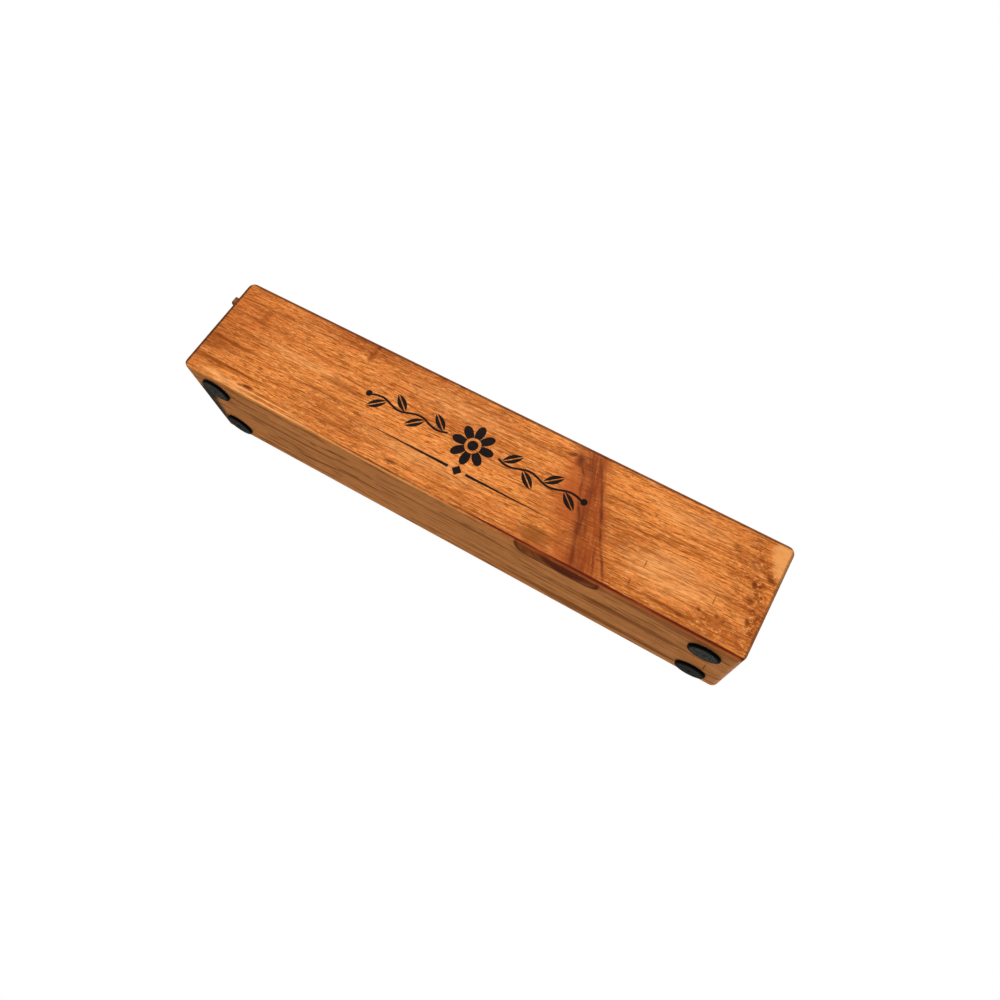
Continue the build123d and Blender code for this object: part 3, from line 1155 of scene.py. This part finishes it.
def moulded_pad(corner, sheen_share, material):
    """The rubber pad at one corner, in place of its plain solid."""
    node = "pad_" + corner
    low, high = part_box(node)
    centre = ((low.x + high.x) / 2, (low.y + high.y) / 2, low.z)
    piece = turned_piece("moulded_pad_" + corner, centre, *pad_profile(), sheen_share)
    piece.data.materials.append(material)
    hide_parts(node)
    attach(piece, "box")


# Rubber: black, with a painted grey sheen on the face that the box stands on, the front pads most
PAD_SHEEN_SHARES = {"front_left": 0.75, "front_right": 1.0, "back_left": 0.35, "back_right": 0.2}
RUBBER_BLACK = linear("#100E0D")
# The grey is painted sheen, and the pale specks are painted glints
RUBBER_SHEEN_GREY = linear("#4A4C47")
RUBBER_GLINT = linear("#8E9088")

# The painted sheen, the painted glints and the moulded grain, in cells for each mm, with the
# grain's relief in mm
SHEEN_SCALE = 0.7
SHEEN_PATCHES = Rise(0.38, 0.6, 0.2)
GLINT_SCALE = 1.9
GLINTS = Rise(0.54, 0.63, 0.0, 0.9)
MOULD_SCALE = 4.0
MOULD_RELIEF = 0.03

# The painted sheen on the face ends before the rim, and the gate mark's sink has little of it
FACE_FADE = 0.5
GATE = Rise(SINK_RADIUS * 0.5, SINK_RADIUS, 0.35)
RUBBER_ROUGHNESS = Rise(0.0, 1.0, 0.5, 0.75)


def pad_rubber():
    """Moulded natural rubber: matt black, with a fine moulded grain, a painted grey sheen and
    painted glints on the face that the box stands on, and a dark rim and gate mark that have less
    of them."""
    material, add = new_material("moulded_black_rubber")
    place = add("TexCoord", out="Object")
    point = add("Mapping", place, (0, 0, 0), (0, 0, 0), (1 / MM, 1 / MM, 1 / MM))
    reach = add("Attribute", out="Fac", attribute_name="radius_mm")
    rim = PAD_RADIUS - PAD_RIM_ACROSS
    face = add("MapRange", reach, rim, rim - FACE_FADE, 0.0, 1.0, **SMOOTH)
    gate = add("MapRange", reach, *GATE, **SMOOTH)
    share = add("Attribute", out="Fac", attribute_name="sheen_share")
    face = product(add, face, gate, share)
    sheen_noise = add("TexNoise", point, SHEEN_SCALE, 5.0, 0.7)
    painted_sheen = add("MapRange", sheen_noise, *SHEEN_PATCHES, **SMOOTH)
    painted_sheen = add("Math MULTIPLY", face, painted_sheen)
    # Painted sheen: grey in patches on the face
    colour = laid(add, RUBBER_BLACK, RUBBER_SHEEN_GREY, painted_sheen)
    glint_noise = add("TexNoise", point, GLINT_SCALE, 3.0, 0.7)
    glints = add("MapRange", glint_noise, *GLINTS, **SMOOTH)
    # Painted glints: pale specks on the face
    colour = laid(add, colour, RUBBER_GLINT, face, glints)
    grain = add("TexNoise", point, MOULD_SCALE, 2.0)
    relief = add("Math MULTIPLY", grain, MOULD_RELIEF)
    bump = add("Bump", named={"Strength": 1.0, "Distance": MM, "Height": relief})
    roughness = add("MapRange", painted_sheen, *RUBBER_ROUGHNESS)
    named = {
        "Base Color": colour,
        "Roughness": roughness,
        "IOR": 1.52,
        "Specular IOR Level": 0.004,
        "Normal": bump,
    }
    surface = add("BsdfPrincipled", named=named)
    add("OutputMaterial", surface)
    return material


# The film's cloudiness, in cells for each metre
FILM_DARK = linear("#8E8468")
FILM_PALE = linear("#C9BE98")
CLOUD_SCALE = 900.0


def adhesive_film():
    """Clear acrylic adhesive film: yellowish and faintly cloudy."""
    material, add = new_material("acrylic_adhesive_film")
    place = add("TexCoord", out="Object")
    cloud = add("TexNoise", place, CLOUD_SCALE, 3.0)
    colour = laid(add, FILM_DARK, FILM_PALE, cloud)
    named = {"Base Color": colour, "Roughness": 0.45, "IOR": 1.47}
    surface = add("BsdfPrincipled", named=named)
    add("OutputMaterial", surface)
    return material


def assign(node, material):
    """Gives a CAD node's object one material."""
    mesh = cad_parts[node].data
    mesh.materials.clear()
    mesh.materials.append(material)


def make_camera():
    """The camera at the photograph's place, turned about its own line of sight."""
    data = bpy.data.cameras.new("camera")
    data.lens = CAMERA_LENS
    data.sensor_width = SENSOR_WIDTH
    data.shift_x = CAMERA_SHIFT
    data.clip_start = 0.001
    camera = bpy.data.objects.new("camera", data)
    camera.location = CAMERA_PLACE
    level = (CAMERA_AIM - CAMERA_PLACE).to_track_quat("-Z", "Y")
    camera.rotation_mode = "QUATERNION"
    camera.rotation_quaternion = level @ Quaternion((0, 0, 1), math.radians(CAMERA_ROLL))
    bpy.context.scene.collection.objects.link(camera)
    bpy.context.scene.camera = camera


def make_world():
    """An even surround: white to the eye and in reflections, and softer as light."""
    world = bpy.data.worlds.new("white_surround")
    add = emptied(world)
    path = add("LightPath").node.outputs
    seen = add("Math MAXIMUM", path["Is Camera Ray"], path["Is Glossy Ray"])
    seen = add("Math MAXIMUM", seen, path["Is Transmission Ray"])
    level = add("MapRange", seen, 0.0, 1.0, SURROUND_LEVEL, WHITE_LEVEL)
    light = add("Background", WHITE, level)
    add("OutputWorld", light)
    bpy.context.scene.world = world


def soft_lamp(name, place, size, power):
    """A square soft lamp aimed at the frame's origin, under the box."""
    data = bpy.data.lights.new(name, "AREA")
    data.size = size
    data.energy = power
    lamp = bpy.data.objects.new(name, data)
    lamp.location = place
    lamp.rotation_mode = "QUATERNION"
    lamp.rotation_quaternion = (-Vector(place)).to_track_quat("-Z", "Y")
    lamp.visible_camera = False
    bpy.context.scene.collection.objects.link(lamp)


# The floor, in metres, and its faint mottle, in cells for each metre
FLOOR_HALF = 6.0
FLOOR_CLEAR = 0.25
FLOOR_FADED = 0.7
FLOOR_GREY = linear("#F0EFED")
FLOOR_PALE = linear("#F5F5F4")
MOTTLE_SCALE = 3.0


def make_floor():
    """A pale floor that shows its top only, so that the view from below looks past it. It takes
    the box's shadow and throws none, and fades into the white surround away from the box."""
    half = FLOOR_HALF
    corners = [(-half, -half, 0), (half, -half, 0), (half, half, 0), (-half, half, 0)]
    mesh = bpy.data.meshes.new("floor")
    mesh.from_pydata(corners, [], [(0, 1, 2, 3)])
    floor = bpy.data.objects.new("floor", mesh)
    bpy.context.scene.collection.objects.link(floor)
    material, add = new_material("matt_white_floor_paper")
    place = add("TexCoord", out="Object")
    mottle = add("TexNoise", place, MOTTLE_SCALE, 2.0)
    colour = laid(add, FLOOR_GREY, FLOOR_PALE, mottle)
    paper = add("BsdfDiffuse", colour)
    white = add("Emission", WHITE, WHITE_LEVEL)
    away = add("VectorMath LENGTH", place, out="Value")
    fade = add("MapRange", away, FLOOR_CLEAR, FLOOR_FADED, 0.0, 1.0, **SMOOTH)
    top = add("MixShader", fade, paper, white)
    clear = add("BsdfTransparent")
    under = add("NewGeometry", out="Backfacing")
    surface = add("MixShader", under, top, clear)
    add("OutputMaterial", surface)
    mesh.materials.append(material)
    floor.visible_diffuse = False
    floor.visible_glossy = False
    floor.visible_shadow = False


make_camera()
make_world()
for lamp in LAMPS:
    soft_lamp(*lamp)
make_floor()

assign("box_body", body_wood())
assign("sliding_lid", lid_wood())
film = adhesive_film()
rubber = pad_rubber()
for corner, sheen_share in PAD_SHEEN_SHARES.items():
    moulded_pad(corner, sheen_share, rubber)
    assign("adhesive_" + corner, film)

bpy.context.scene.view_settings.view_transform = "Standard"
